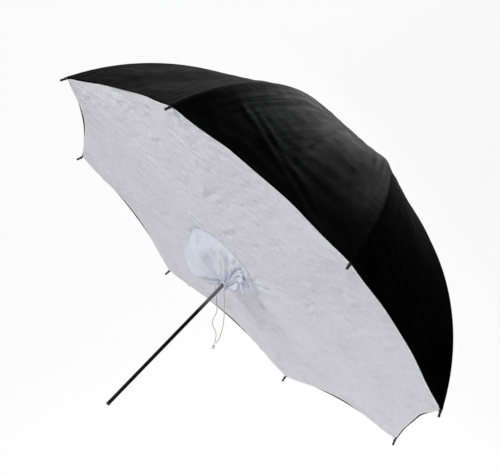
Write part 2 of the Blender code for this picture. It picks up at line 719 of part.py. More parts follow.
def main():
    for obj in list(bpy.data.objects):
        bpy.data.objects.remove(obj)
    finishes = {
        "aluminium": material("aluminium", (0.62, 0.63, 0.65), 0.32, 1.0),
        "steel": material("steel", (0.55, 0.56, 0.58), 0.35, 1.0),
        "steel_black": material("steel_black", (0.03, 0.03, 0.032), 0.45, 0.6),
        "plastic_black": material("plastic_black", (0.02, 0.02, 0.021), 0.5),
        "canopy": material("canopy", (0.018, 0.018, 0.019), 0.55),
        "diffuser": material("diffuser", (0.62, 0.61, 0.64), 0.8),
        "sleeve": material("sleeve", (0.72, 0.75, 0.83), 0.8),
        "cord": material("cord", (0.6, 0.59, 0.57), 0.85),
    }
    tilt = Matrix.Rotation(math.radians(90 - SHAFT_TILT_DEG), 4, "Y")
    roll = Matrix.Rotation(math.radians(FIRST_RIB_ROLL_DEG), 4, "Z")
    frame = empty("umbrella_frame", None, tilt @ roll)
    build_shaft(finishes["aluminium"], frame)
    build_shaft_plug(finishes["plastic_black"], frame)
    build_top_cap(finishes["plastic_black"], frame)
    build_notch(finishes["plastic_black"], frame)
    build_notch_wire(finishes["steel"], frame)
    build_runner_stop(finishes["aluminium"], frame)
    build_runner(finishes["plastic_black"], frame)
    build_catch(finishes["steel"], frame)
    build_ribs(finishes, frame)
    build_sleeve(finishes["sleeve"], frame)
    build_cord("drawstring_left", CORD_LEFT, finishes["cord"])
    build_cord("drawstring_right", CORD_RIGHT, finishes["cord"])
    build_knot(finishes["cord"])


main()
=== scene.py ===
"""The looks of the umbrella reflector: its sewn covers, sleeve, drawstring and hardware.

The umbrella's own coordinates have z along the shaft towards the crown, x along the first rib and z = 0 at
the open face. Every soft piece is worked out there and then turned into the frame's upright coordinates.
Units are metres.
"""

import json
import math

import bmesh
import bpy
import numpy as np
from mathutils import Matrix, Vector

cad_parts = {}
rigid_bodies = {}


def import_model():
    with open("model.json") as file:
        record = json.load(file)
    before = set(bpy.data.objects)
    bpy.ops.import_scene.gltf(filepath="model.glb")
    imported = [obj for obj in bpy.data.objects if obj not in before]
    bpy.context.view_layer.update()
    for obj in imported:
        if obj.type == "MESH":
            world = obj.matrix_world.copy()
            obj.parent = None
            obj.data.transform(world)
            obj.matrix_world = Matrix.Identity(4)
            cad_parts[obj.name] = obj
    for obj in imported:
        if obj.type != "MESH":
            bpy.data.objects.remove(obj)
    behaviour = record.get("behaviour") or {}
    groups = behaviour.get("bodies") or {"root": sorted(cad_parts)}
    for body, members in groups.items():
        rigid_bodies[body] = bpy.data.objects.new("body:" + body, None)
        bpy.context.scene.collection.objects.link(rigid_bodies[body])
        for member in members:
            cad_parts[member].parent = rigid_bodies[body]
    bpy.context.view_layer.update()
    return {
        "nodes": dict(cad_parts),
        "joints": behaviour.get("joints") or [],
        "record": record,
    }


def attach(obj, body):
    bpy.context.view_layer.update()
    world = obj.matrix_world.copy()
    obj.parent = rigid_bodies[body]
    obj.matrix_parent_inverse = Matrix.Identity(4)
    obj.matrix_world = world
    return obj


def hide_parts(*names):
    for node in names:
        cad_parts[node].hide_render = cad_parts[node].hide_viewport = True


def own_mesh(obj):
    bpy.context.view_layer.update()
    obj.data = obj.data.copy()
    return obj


for startup_object in list(bpy.data.objects):
    bpy.data.objects.remove(startup_object)
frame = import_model()

# Driving sizes, the same as the frame's
RIB_COUNT = 8
RIB_STEP = math.tau / RIB_COUNT
FACE_RADIUS = 0.54
DOME_CENTRE_DROP = 0.216
DOME_RADIUS = math.hypot(FACE_RADIUS, DOME_CENTRE_DROP)
RIM_ANGLE = math.asin(FACE_RADIUS / DOME_RADIUS)
RIM_SCALLOP = 0.017
PANEL_HOLLOW = 0.012
CROWN_HOLE_RADIUS = 0.0056
FIRST_ANGLE = math.asin(CROWN_HOLE_RADIUS / DOME_RADIUS)
RIB_RADIUS = 0.0016
RIB_UNDER_FABRIC = 0.0030
RIB_DROP_AT_HUB = 0.0022
RIB_DROP_FADE = 0.030
RIB_PAST_RIM = 0.0072
HUB_PIVOT_RADIUS = 0.0115
EYE_REACH = 0.0045
TIP_START = 0.0006
TIP_LENGTH = 0.0150
DIFFUSER_DISH = 0.012
SLEEVE_BASE_CENTRE = np.array([0.042, -0.010])
SLEEVE_BASE_RADIUS = 0.088
# Where the sock folds over on its way in to the drawstring, at equal steps of azimuth from +x. It
# hangs down and to one side.
SLEEVE_FOLD = np.array(
    [
        (0.047, -0.014, -0.067),
        (0.028, 0.014, -0.046),
        (0.018, 0.036, -0.027),
        (-0.002, 0.040, -0.026),
        (-0.020, 0.012, -0.036),
        (-0.014, -0.012, -0.046),
        (0.010, -0.024, -0.060),
        (0.044, -0.036, -0.073),
    ]
)
SLEEVE_SHOULDER_REACH = (0.36, 0.36, 0.70)
DRAWN_RADIUS = 0.0085
DRAWN_HEIGHT = -0.0475
FRILL_RADIUS = 0.0135
FRILL_HEIGHT = -0.0545

# Cloth
CANOPY_THICKNESS = 0.0007
DIFFUSER_THICKNESS = 0.0005
SLEEVE_THICKNESS = 0.0006
CANOPY_HEM = 0.010
DIFFUSER_HEM = 0.005
HEM_STEP = 0.0003
SEAM_FROM_RIM = 0.0028
CORNER_INSET = 0.0042
HEM_STITCH = CANOPY_HEM - 0.0015
SEAM_STITCH = 0.0032
CANOPY_WEAVE = 0.0007
NYLON_WEAVE = 0.0006
GORE_SHARES = np.linspace(0, 1, 116)
GORE_PLACES = np.linspace(-1, 1, 73)
DIFFUSER_SHARES = np.linspace(0, 1, 92)
SLEEVE_SIDES = 160
SLEEVE_RINGS = 72
# How far along the sock each of its rows is: base, shoulder, fold, drawstring and frill
SLEEVE_ROW_SHARES = (0, 0.38, 0.72, 0.94, 1.0)

# Drawstring: the same route as the frame's cord solids
CORD_DIAMETER = 0.0018
CORD_STEPS = 20
CORD_POINTS = 60
CORD_LEFT = [
    (-0.0442, 0.0125, -0.0344),
    (-0.0486, 0.0184, -0.0384),
    (-0.0484, 0.0172, -0.0530),
    (-0.0489, 0.0110, -0.0740),
    (-0.0494, 0.0092, -0.0931),
    (-0.0598, 0.0088, -0.1167),
    (-0.0541, 0.0020, -0.1400),
    (-0.0582, -0.0006, -0.1612),
]
CORD_RIGHT = [
    (-0.0373, -0.0131, -0.0369),
    (-0.0412, -0.0158, -0.0420),
    (-0.0425, -0.0152, -0.0540),
    (-0.0420, -0.0163, -0.0694),
    (-0.0447, -0.0190, -0.1124),
    (-0.0500, -0.0120, -0.1440),
    (-0.0560, -0.0050, -0.1590),
]
KNOT_CENTRE = Vector((-0.0606, -0.0006, -0.1660))
KNOT_POINTS = 60
KNOT_SIZE = 0.0016
TAIL_START = Vector((-0.0608, -0.0006, -0.1668))
TAIL_REACHES = ((-0.0052, 0.0022, -0.0055), (0.0006, -0.0020, -0.0055))
TAIL_POINTS = 12

# Camera
CAMERA_PLACE = (-0.848, -2.054, 0.066)
CAMERA_HEADING_DEG = 23.0
CAMERA_LENS_MM = 74.4

# Backdrop
FLOOR_HEIGHT = -0.95
FLOOR_START = -1.6
WALL_DISTANCE = 3.2
WALL_HEIGHT = 7.0
WALL_BEND = 1.2
WALL_BEND_STEPS = 12
STAGE_LEFT = 2.4
STAGE_RIGHT = 1.7

JOINTS = {joint["name"]: joint for joint in frame["joints"]}
MOUNTS = {mount["name"]: mount for mount in frame["record"]["mounts"]}
AXIS = Vector(MOUNTS["shaft_grip"]["axis"]).normalized()


def rib_tangent(index):
    """The hinge axis of a rib, which is square to the rib and to the shaft."""
    return Vector(JOINTS[f"rib_{index + 1}_fold"]["axis"]).normalized()


FIRST_RADIAL = rib_tangent(0).cross(AXIS)
TO_WORLD = np.array(Matrix((FIRST_RADIAL, rib_tangent(0), AXIS)).transposed())


def world(points):
    return np.asarray(points) @ TO_WORLD.T


# ---------------------------------------------------------------- cloth shapes


def smooth_step(low, high, value):
    share = np.clip((value - low) / (high - low), 0, 1)
    return share * share * (3 - 2 * share)


def waves(across, along, wavelength, seed, spread=1.0, waves_summed=14):
    """A smooth random field, about 1 high, of waves near one wavelength. spread stretches it along."""
    rng = np.random.default_rng(seed)
    total = np.zeros(np.broadcast(across, along).shape)
    for _ in range(waves_summed):
        heading, phase = rng.uniform(0, math.tau, 2)
        size = math.tau / wavelength * rng.uniform(0.6, 1.6)
        run = across * math.cos(heading) + along / spread * math.sin(heading)
        total = total + np.sin(size * run + phase)
    return total / math.sqrt(waves_summed / 2)


def fold_ridge(across, along, start, end, width, height):
    """A soft straight fold from start to end, which fades at both ends."""
    direction = np.array(end) - np.array(start)
    length = np.hypot(*direction)
    direction = direction / length
    run = (across - start[0]) * direction[0] + (along - start[1]) * direction[1]
    aside = (along - start[1]) * direction[0] - (across - start[0]) * direction[1]
    fade = smooth_step(0, length * 0.15, run) * (1 - smooth_step(length * 0.8, length, run))
    return height * np.exp(-((aside / width) ** 2)) * fade


def creases(across, along, seed, count, reach, width, height):
    """Random soft folds, within a reach given as lowest and highest across and along."""
    rng = np.random.default_rng(seed)
    total = np.zeros(np.broadcast(across, along).shape)
    for _ in range(count):
        middle = np.array([rng.uniform(*reach[0]), rng.uniform(*reach[1])])
        heading = rng.uniform(0, math.pi)
        half = rng.uniform(0.03, 0.12) * np.array([math.cos(heading), math.sin(heading)])
        size = rng.choice([-1, 1]) * rng.uniform(0.5, 1.0) * height
        wide = width * rng.uniform(0.7, 1.5)
        total = total + fold_ridge(across, along, middle - half, middle + half, wide, size)
    return total


# Folds pressed into every panel when the umbrella is rolled up: start and end as (share of the way from
# the crown to the rim, place from rib to rib), and height in metres
PACKING_FOLDS = (
    ((0.82, 0.08), (0.99, 0.84), 0.0016),
    ((0.78, 0.11), (0.97, 0.86), 0.0011),
    ((0.89, 0.03), (0.98, 0.33), 0.0013),
    ((0.80, 0.53), (0.42, 0.50), -0.0013),
    ((0.62, 0.30), (0.86, 0.56), 0.0007),
    ((0.60, 0.72), (0.90, 0.88), 0.0012),
    ((0.50, 0.80), (0.95, 0.94), 0.0012),
    ((0.45, 0.16), (0.86, 0.10), 0.0011),
    ((0.40, 0.24), (0.80, 0.19), -0.0009),
)


def packing_folds(panel, across, from_crown):
    rng = np.random.default_rng(500 + panel)
    total = np.zeros(across.shape)
    for (share, place), (last_share, last_place), height in PACKING_FOLDS:
        ends = []
        for along, side in ((share, place), (last_share, last_place)):
            angle = RIM_ANGLE * (along + 0.012 * rng.standard_normal())
            width = 2 * DOME_RADIUS * math.sin(angle) * math.sin(RIB_STEP / 2)
            ends.append(((side - 0.5) * width, angle * DOME_RADIUS))
        total += fold_ridge(across, from_crown, *ends, 0.0075, height)
    return total


def canopy_relief(panel, across, from_crown, from_rim, from_rib, bow):
    """How far the canopy stands out from its tight shape, panel by panel. It is nothing at the ribs."""
    seed = 100 + 17 * panel
    by_the_rib = smooth_step(0, 0.03, from_rib)
    relief = 0.0015 * waves(across, from_crown, 0.20, seed, 1.6) * by_the_rib
    relief += 0.00012 * waves(across, from_crown, 0.035, seed + 5, 2.0) * by_the_rib
    swag = np.sin(math.tau * from_rim / 0.044 + 1.4 * waves(across, from_crown, 0.3, seed + 1))
    relief += 0.0008 * swag * np.exp(-from_rim / 0.10) * smooth_step(0, 0.02, from_rim) * bow
    wander = 1.1 * waves(across, from_crown, 0.25, seed + 2)
    along_rib = np.sin(math.tau * (from_rib / 0.021) ** 0.9 + wander)
    relief += 0.0011 * along_rib * np.exp(-from_rib / 0.045) * by_the_rib
    pucker = np.sin(math.tau * from_crown / 0.024 + waves(across, from_crown, 0.2, seed + 3))
    relief += 0.00014 * pucker * (from_rib / 0.008) * np.exp(1 - from_rib / 0.008)
    relief += packing_folds(panel, across, from_crown) * by_the_rib
    reach = ((-0.17, 0.17), (0.12, 0.66))
    relief += creases(across, from_crown, seed + 4, 8, reach, 0.007, 0.0008) * by_the_rib
    hem = 1 - smooth_step(CANOPY_HEM - 0.003, CANOPY_HEM + 0.003, from_rim)
    return relief * smooth_step(-0.02, 0.03, from_rim) + HEM_STEP * hem


def canopy_points(panel, share, place, depth, relief=True):
    """Points of one panel between two ribs. share runs from the crown to the rim and place from rib to
    rib, both 0 to 1. depth is measured inwards."""
    bow = 4 * place * (1 - place)
    last = RIM_ANGLE - RIM_SCALLOP / DOME_RADIUS * bow
    angle = FIRST_ANGLE + (last - FIRST_ANGLE) * share
    radius = DOME_RADIUS * np.sin(angle)
    height = DOME_RADIUS * np.cos(angle) - DOME_CENTRE_DROP
    here, there = panel * RIB_STEP, (panel + 1) * RIB_STEP
    ground = (1 - place)[..., None] * np.array([math.cos(here), math.sin(here)])
    ground = ground + place[..., None] * np.array([math.cos(there), math.sin(there)])
    points = np.concatenate([ground * radius[..., None], height[..., None]], -1)
    azimuth = here + place * RIB_STEP
    inward = np.stack(
        [-np.sin(angle) * np.cos(azimuth), -np.sin(angle) * np.sin(azimuth), -np.cos(angle)], -1
    )
    width = 2 * radius * math.sin(RIB_STEP / 2)
    amount = PANEL_HOLLOW * width * bow + depth
    if relief:
        across = (place - 0.5) * width
        from_rib = np.minimum(place, 1 - place) * width
        from_rim = (last - angle) * DOME_RADIUS
        from_crown = angle * DOME_RADIUS
        amount = amount - canopy_relief(panel, across, from_crown, from_rim, from_rib, bow)
    return points + inward * amount[..., None]


def gore_places(across):
    """For places across a gore, from -1 to 1 with the rib at 0: the step to the panel on that side, and
    the place in it."""
    left = across < 0
    return left, np.where(left, 1 + across / 2, across / 2)


def gore_points(index, share, across, depth):
    left, place = gore_places(across)
    points = canopy_points(index, share, place, depth)
    points[left] = canopy_points(index - 1, share[left], place[left], depth)
    return points


def sleeve_hole_distance(azimuth):
    """Distance from the shaft to the edge of the diffuser's hole, which isn't centred on the shaft."""
    along = SLEEVE_BASE_CENTRE[0] * np.cos(azimuth) + SLEEVE_BASE_CENTRE[1] * np.sin(azimuth)
    aside_squared = (SLEEVE_BASE_CENTRE**2).sum() - along**2
    return along + np.sqrt(SLEEVE_BASE_RADIUS**2 - aside_squared)


def corner_fans(x, y):
    """Pulls that run out from each corner of the face, where the sheet hangs on its ribs."""
    total = np.zeros(x.shape)
    for corner in range(RIB_COUNT):
        turn = corner * RIB_STEP
        along = FACE_RADIUS - x * math.cos(turn) - y * math.sin(turn)
        aside = -x * math.sin(turn) + y * math.cos(turn)
        distance = np.hypot(along, aside)
        fan = np.sin(np.arctan2(aside, along) * 11 + 1.7 * corner)
        total += fan * np.exp(-distance / 0.12) * smooth_step(0.01, 0.07, distance)
    return total


def diffuser_relief(x, y, from_rim, from_hole, azimuth):
    """How far the front sheet stands out from its tight shape. It depends only on the place in the face,
    so it runs on from section to section."""
    turned_x, turned_y = 0.82 * x + 0.57 * y, -0.57 * x + 0.82 * y
    patchy = 0.6 + 0.4 * waves(x, y, 0.12, 47)
    relief = 0.0016 * waves(x, y, 0.19, 42) + 0.00035 * waves(x, y, 0.030, 41, 2.2)
    relief += 0.0008 * patchy * waves(turned_x, turned_y, 0.015, 45, 3.5, 24)
    relief += 0.0006 * patchy * waves(y, x, 0.012, 46, 3.0, 24)
    relief += creases(x, y, 43, 110, ((-0.5, 0.5), (-0.5, 0.5)), 0.0036, 0.0013)
    relief += 0.0022 * corner_fans(x, y)
    pull = np.sin(azimuth * 15 + 1.5 * waves(x, y, 0.12, 44))
    relief += 0.0017 * pull * np.exp(-from_hole / 0.05)
    edge = smooth_step(0, 0.014, from_rim)
    hem = 1 - smooth_step(DIFFUSER_HEM - 0.002, DIFFUSER_HEM + 0.002, from_rim)
    return relief * edge * smooth_step(0, 0.006, from_hole) + HEM_STEP * hem


def diffuser_points(index, share, across, depth):
    """Points of one section of the front sheet, from the sleeve's hole to its seam inside the rim."""
    left, place = gore_places(across)
    seam = np.full_like(share, 1 - SEAM_FROM_RIM / (DOME_RADIUS * RIM_ANGLE))
    edge = canopy_points(index, seam, place, CANOPY_THICKNESS)
    edge[left] = canopy_points(index - 1, seam[left], place[left], CANOPY_THICKNESS)
    bow = 4 * place * (1 - place)
    from_rib = np.minimum(place, 1 - place) * 2 * FACE_RADIUS * math.sin(RIB_STEP / 2)
    azimuth = np.arctan2(edge[..., 1], edge[..., 0])
    hole = sleeve_hole_distance(azimuth)
    inset = 0.0006 + CORNER_INSET * np.exp(-((from_rib / 0.010) ** 2))
    rim = np.hypot(edge[..., 0], edge[..., 1]) - inset
    distance = hole + (rim - hole) * share
    x, y = distance * np.cos(azimuth), distance * np.sin(azimuth)
    height = -DIFFUSER_DISH + (DIFFUSER_DISH + edge[..., 2] * bow) * share
    relief = diffuser_relief(x, y, rim - distance, distance - hole, azimuth)
    return np.stack([x, y, height - relief - depth], -1)


def finish_mesh(mesh, sharp_deg):
    """Faces outwards, smooth but for edges sharper than an angle."""
    fix = bmesh.new()
    fix.from_mesh(mesh)
    bmesh.ops.recalc_face_normals(fix, faces=fix.faces)
    fix.to_mesh(mesh)
    fix.free()
    mesh.shade_smooth()
    mesh.set_sharp_from_angle(angle=math.radians(sharp_deg))
    return mesh


def cloth_mesh(name, surface, shares, places, thickness, measure, hem_rows=0):
    """A closed sheet of cloth with an outer face (material 0), an inner face (material 1) and its
    edges and folded-in hem (material 0). surface gives the points at a depth, and measure their place
    on the cloth in metres, for its texture."""
    share, across = np.meshgrid(shares, places, indexing="ij")
    rows, columns = share.shape
    count = rows * columns
    outer = world(surface(share, across, 0.0).reshape(-1, 3))
    inner = world(surface(share, across, thickness).reshape(-1, 3))
    flat = measure(share, across).reshape(-1, 2)
    number = np.arange(count).reshape(rows, columns)
    quads = np.stack(
        [number[:-1, :-1], number[:-1, 1:], number[1:, 1:], number[1:, :-1]], -1
    ).reshape(-1, 4)
    rim = np.concatenate([number[0, :], number[1:, -1], number[-1, -2::-1], number[-2:0:-1, 0]])
    after = np.roll(rim, -1)
    walls = np.stack([rim, rim + count, after + count, after], -1)
    faces = np.concatenate([quads, quads[:, ::-1] + count, walls])
    mesh = bpy.data.meshes.new(name)
    mesh.from_pydata(np.concatenate([outer, inner]).tolist(), [], faces.tolist())
    uv = mesh.uv_layers.new(name="cloth")
    corners = np.array([loop.vertex_index for loop in mesh.loops])
    uv.data.foreach_set("uv", flat[corners % count].ravel())
    slots = np.zeros(len(faces), np.int32)
    inner_quads = len(quads) - hem_rows * (columns - 1)
    slots[len(quads) : len(quads) + inner_quads] = 1
    mesh.polygons.foreach_set("material_index", slots)
    mesh.update()
    return finish_mesh(mesh, 50)


def add_object(name, mesh, *finishes):
    made = bpy.data.objects.new(name, mesh)
    bpy.context.scene.collection.objects.link(made)
    for finish in finishes:
        made.data.materials.append(finish)
    return made


# ---------------------------------------------------------------- materials


class Nodes:
    """A small helper that adds nodes to a material and links them."""

    def __init__(self, name, colour, roughness, metallic=0.0, sheen=0.0):
        self.material = bpy.data.materials.new(name)
        self.material.use_nodes = True
        self.tree = self.material.node_tree
        self.shader = self.tree.nodes["Principled BSDF"]
        self.shader.inputs["Base Color"].default_value = (*colour, 1)
        self.shader.inputs["Roughness"].default_value = roughness
        self.shader.inputs["Metallic"].default_value = metallic
        self.shader.inputs["Sheen Weight"].default_value = sheen

    def add(self, kind, **values):
        node = self.tree.nodes.new(kind)
        for key, value in values.items():
            if key in node.inputs:
                node.inputs[key].default_value = value
            else:
                setattr(node, key, value)
        return node

    def link(self, source, target):
        self.tree.links.new(source, target)
        return source

    def coordinates(self, kind, scale=(1, 1, 1)):
        source = self.add("ShaderNodeTexCoord").outputs[kind]
        mapping = self.add("ShaderNodeMapping")
        mapping.inputs["Scale"].default_value = scale
        self.link(source, mapping.inputs["Vector"])
        return mapping.outputs["Vector"]

    def noise(self, vector, scale, detail=4.0, rough=0.55):
        node = self.add("ShaderNodeTexNoise")
        node.inputs["Scale"].default_value = scale
        node.inputs["Detail"].default_value = detail
        node.inputs["Roughness"].default_value = rough
        self.link(vector, node.inputs["Vector"])
        return node.outputs["Fac"]

    def math(self, operation, one, two=0.5, clamp=False):
        node = self.add("ShaderNodeMath")
        node.operation = operation
        node.use_clamp = clamp
        for socket, value in zip(node.inputs, (one, two)):
            if isinstance(value, (int, float)):
                socket.default_value = value
            else:
                self.link(value, socket)
        return node.outputs[0]

    def mix(self, share, one, two):
        node = self.add("ShaderNodeMix")
        node.data_type = "RGBA"
        if isinstance(share, (int, float)):
            node.inputs[0].default_value = share
        else:
            self.link(share, node.inputs[0])
        for socket, value in ((node.inputs[6], one), (node.inputs[7], two)):
            if isinstance(value, tuple):
                socket.default_value = (*value, 1)
            else:
                self.link(value, socket)
        return node.outputs[2]

    def ramp(self, value, low, high, low_at=0.3, high_at=0.7):
        node = self.add("ShaderNodeMapRange")
        node.inputs["From Min"].default_value = low_at
        node.inputs["From Max"].default_value = high_at
        node.inputs["To Min"].default_value = low
        node.inputs["To Max"].default_value = high
        self.link(value, node.inputs["Value"])
        return node.outputs["Result"]

    def colour(self, output):
        self.link(output, self.shader.inputs["Base Color"])

    def roughness(self, output):
        self.link(output, self.shader.inputs["Roughness"])

    def bump(self, *layers):
        """Bump from (height output, distance in metres) layers, one on another."""
        normal = None
        for height, distance in layers:
            node = self.add("ShaderNodeBump")
            node.inputs["Strength"].default_value = 1.0
            node.inputs["Distance"].default_value = distance
            self.link(height, node.inputs["Height"])
            if normal is not None:
                self.link(normal, node.inputs["Normal"])
            normal = node.outputs["Normal"]
        self.link(normal, self.shader.inputs["Normal"])

    def weave(self, pitch):
        """Plain weave of threads a pitch apart, on the cloth's own coordinates in metres."""
        flat = self.coordinates("UV")
        threads = []
        for direction in ("X", "Y"):
            node = self.add("ShaderNodeTexWave")
            node.wave_type = "BANDS"
            node.bands_direction = direction
            node.inputs["Scale"].default_value = math.tau / 20 / pitch
            node.inputs["Distortion"].default_value = 0.6
            node.inputs["Detail"].default_value = 1.0
            self.link(flat, node.inputs["Vector"])
            threads.append(node.outputs["Fac"])
        return self.math("MULTIPLY", *threads)

    def stitches(self, line_axis, distance, pitch=0.0032, half=0.00045):
        """A mask of stitches along a line at a distance from the cloth's own zero on one axis."""
        parts = self.add("ShaderNodeSeparateXYZ")
        self.link(self.coordinates("UV"), parts.inputs[0])
        off = parts.outputs[line_axis]
        along = parts.outputs["XY".replace(line_axis, "")]
        gap = self.math("ABSOLUTE", self.math("SUBTRACT", self.math("ABSOLUTE", off, 0), distance))
        on_line = self.math("LESS_THAN", gap, half)
        dash = self.math("FRACT", self.math("MULTIPLY", along, 1 / pitch), 0)
        return self.math("MULTIPLY", on_line, self.math("LESS_THAN", dash, 0.72))

    def band(self, axis, width):
        """1 within a width of the cloth's own zero on one axis, and 0 beyond."""
        parts = self.add("ShaderNodeSeparateXYZ")
        self.link(self.coordinates("UV"), parts.inputs[0])
        return self.math("LESS_THAN", self.math("ABSOLUTE", parts.outputs[axis], 0), width)


def canopy_material():
    """Black coated polyester, with a soft gloss, a fine weave and sewn seams and hem."""
    made = Nodes("canopy_black", (0.005, 0.005, 0.0052), 0.46)
    made.shader.inputs["IOR"].default_value = 1.05
    place = made.coordinates("Object")
    cloudy = made.noise(place, 9.0, 5.0)
    shade = made.mix(made.ramp(cloudy, 0, 1), (0.0014, 0.0014, 0.0015), (0.0030, 0.0030, 0.0032))
    shade = made.mix(made.stitches("Y", HEM_STITCH), shade, (0.015, 0.015, 0.016))
    shade = made.mix(made.stitches("X", SEAM_STITCH), shade, (0.014, 0.014, 0.015))
    made.colour(shade)
    made.roughness(made.ramp(made.noise(place, 30.0, 6.0), 0.48, 0.60))
    streaks = made.noise(made.coordinates("UV", (95, 7, 1)), 1.0, 3.0, 0.5)
    cross_streaks = made.noise(made.coordinates("UV", (9, 60, 1)), 1.0, 3.0, 0.5)
    made.bump(
        (made.noise(place, 45.0, 3.0, 0.5), 0.0003),
        (streaks, 0.0012),
        (cross_streaks, 0.0005),
        (made.weave(CANOPY_WEAVE), 0.00003),
        (made.stitches("Y", HEM_STITCH), 0.0002),
        (made.stitches("X", SEAM_STITCH), 0.0002),
    )
    return made.material


def lining_material():
    """The canopy's silver inside."""
    made = Nodes("canopy_silver", (0.72, 0.73, 0.75), 0.34, metallic=0.85)
    place = made.coordinates("Object")
    shade = made.ramp(made.noise(place, 40.0, 6.0), 0, 1)
    made.colour(made.mix(shade, (0.62, 0.63, 0.65), (0.80, 0.81, 0.83)))
    made.roughness(made.ramp(made.noise(place, 120.0, 4.0), 0.26, 0.44))
    made.bump((made.noise(place, 70.0, 7.0, 0.65), 0.0010), (made.weave(CANOPY_WEAVE), 0.00005))
    return made.material


def white_cloth_material(name, low, high, hem, hem_width, wrinkle):
    """Thin white nylon: creased, with a double hem that shows whiter."""
    made = Nodes(name, high, 0.72, sheen=0.15)
    made.shader.inputs["Sheen Roughness"].default_value = 0.5
    place = made.coordinates("Object")
    shade = made.mix(made.ramp(made.noise(place, 6.0, 4.0), 0, 1), low, high)
    if hem_width:
        shade = made.mix(made.band("Y", hem_width), shade, hem)
        stitch = made.stitches("Y", hem_width - 0.002)
        shade = made.mix(stitch, shade, tuple(0.8 * value for value in hem))
    made.colour(shade)
    made.roughness(made.ramp(made.noise(place, 90.0, 4.0), 0.62, 0.80))
    folds = made.add("ShaderNodeTexVoronoi")
    folds.feature = "DISTANCE_TO_EDGE"
    folds.inputs["Scale"].default_value = 26.0
    made.link(place, folds.inputs["Vector"])
    crumple = made.ramp(folds.outputs["Distance"], 0, 1, 0, 0.10)
    drawn = made.add("ShaderNodeMapping")
    drawn.inputs["Scale"].default_value = (70, 70, 26)
    drawn.inputs["Rotation"].default_value = (0.5, 0.3, 0.6)
    made.link(place, drawn.inputs["Vector"])
    made.bump(
        (made.noise(place, 34.0, 7.0, 0.62), wrinkle),
        (made.noise(drawn.outputs["Vector"], 1.0, 4.0, 0.55), wrinkle * 1.6),
        (crumple, wrinkle * 0.22),
        (made.weave(NYLON_WEAVE), 0.00005),
    )
    return made.material


def cord_material():
    """Thin woven cord with twisted strands."""
    made = Nodes("cord_grey_white", (0.56, 0.54, 0.51), 0.85, sheen=0.2)
    place = made.coordinates("Object")
    strands = made.add("ShaderNodeTexWave")
    strands.bands_direction = "DIAGONAL"
    strands.inputs["Scale"].default_value = 160.0
    strands.inputs["Distortion"].default_value = 1.5
    made.link(place, strands.inputs["Vector"])
    made.colour(made.mix(strands.outputs["Fac"], (0.40, 0.38, 0.36), (0.66, 0.64, 0.61)))
    made.bump((strands.outputs["Fac"], 0.0002))
    return made.material


def metal_material(name, dark, light, roughness, metallic=1.0):
    """Drawn metal, with fine marks along the shaft's direction."""
    made = Nodes(name, light, roughness, metallic)
    turned = made.add("ShaderNodeVectorRotate", rotation_type="Y_AXIS")
    made.link(made.coordinates("Object"), turned.inputs["Vector"])
    turned.inputs["Angle"].default_value = -math.acos(AXIS.z)
    stretch = made.add("ShaderNodeMapping")
    stretch.inputs["Scale"].default_value = (900, 900, 14)
    made.link(turned.outputs["Vector"], stretch.inputs["Vector"])
    marks = made.noise(stretch.outputs["Vector"], 1.0, 5.0)
    made.colour(made.mix(made.ramp(marks, 0, 1), dark, light))
    made.roughness(made.ramp(marks, roughness - 0.07, roughness + 0.09))
    made.bump((marks, 0.00003))
    return made.material


def shaft_material():
    """A drawn tube with painted reflection: lighter grey near the face, where it reflects the white cloth,
    and near black below, where it reflects the dark room.
    """
    made = Nodes("shaft_tube_painted_reflection", (0.3, 0.3, 0.31), 0.3, 1.0)
    place = made.coordinates("Object")
    along = made.add("ShaderNodeVectorMath")
    along.operation = "DOT_PRODUCT"
    along.inputs[1].default_value = AXIS
    made.link(place, along.inputs[0])
    # Painted reflection: mask that makes the tube lighter near the face and near black further down
    painted_reflection_mask = made.ramp(along.outputs["Value"], 0, 1, -0.135, -0.100)
    marks = made.noise(made.coordinates("Object", (500, 500, 500)), 1.0, 4.0)
    painted_reflection_grey = made.mix(made.ramp(marks, 0, 1), (0.17, 0.17, 0.18), (0.24, 0.24, 0.25))
    # Near black of the painted reflection, below the face
    dark = made.mix(made.ramp(marks, 0, 1), (0.010, 0.010, 0.011), (0.022, 0.022, 0.023))
    made.colour(made.mix(painted_reflection_mask, dark, painted_reflection_grey))
    made.roughness(made.ramp(marks, 0.24, 0.38))
    made.bump((marks, 0.00003))
    return made.material


def plastic_material(name, dark, light):
    """Moulded plastic with a fine grain and edges worn a little lighter."""
    made = Nodes(name, dark, 0.5)
    place = made.coordinates("Object")
    worn = made.add("ShaderNodeNewGeometry").outputs["Pointiness"]
    shade = made.mix(made.ramp(worn, 0, 1, 0.52, 0.60), dark, light)
    made.colour(shade)
    made.roughness(made.ramp(made.noise(place, 260.0, 4.0), 0.40, 0.56))
    made.bump((made.noise(place, 900.0, 3.0), 0.00012))
    return made.material


def stage_material():
    made = Nodes("stage_white", (0.13, 0.13, 0.13), 0.9)
    made.shader.inputs["Emission Color"].default_value = (1, 1, 1, 1)
    made.shader.inputs["Emission Strength"].default_value = 0.86
    place = made.coordinates("Object")
    made.colour(made.mix(made.noise(place, 0.6, 2.0), (0.12, 0.12, 0.12), (0.14, 0.14, 0.14)))
    return made.material


# ---------------------------------------------------------------- covers


def build_canopy(black, silver):
    for index in range(RIB_COUNT):

        def surface(share, across, depth, index=index):
            return gore_points(index, share, across, depth)

        def measure(share, across):
            bow = 4 * (np.abs(across) / 2) * (1 - np.abs(across) / 2)
            last = RIM_ANGLE - RIM_SCALLOP / DOME_RADIUS * bow
            angle = FIRST_ANGLE + (last - FIRST_ANGLE) * share
            half_width = DOME_RADIUS * np.sin(angle) * math.sin(RIB_STEP / 2)
            return np.stack([across * half_width, (last - angle) * DOME_RADIUS], -1)

        name = f"canopy_cover_{index + 1}"
        mesh = cloth_mesh(name, surface, GORE_SHARES, GORE_PLACES, CANOPY_THICKNESS, measure, 2)
        cover = add_object(name, mesh, black, silver)
        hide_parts(f"canopy_gore_{index + 1}")
        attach(cover, f"rib_assembly_{index + 1}")
        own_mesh(cover)


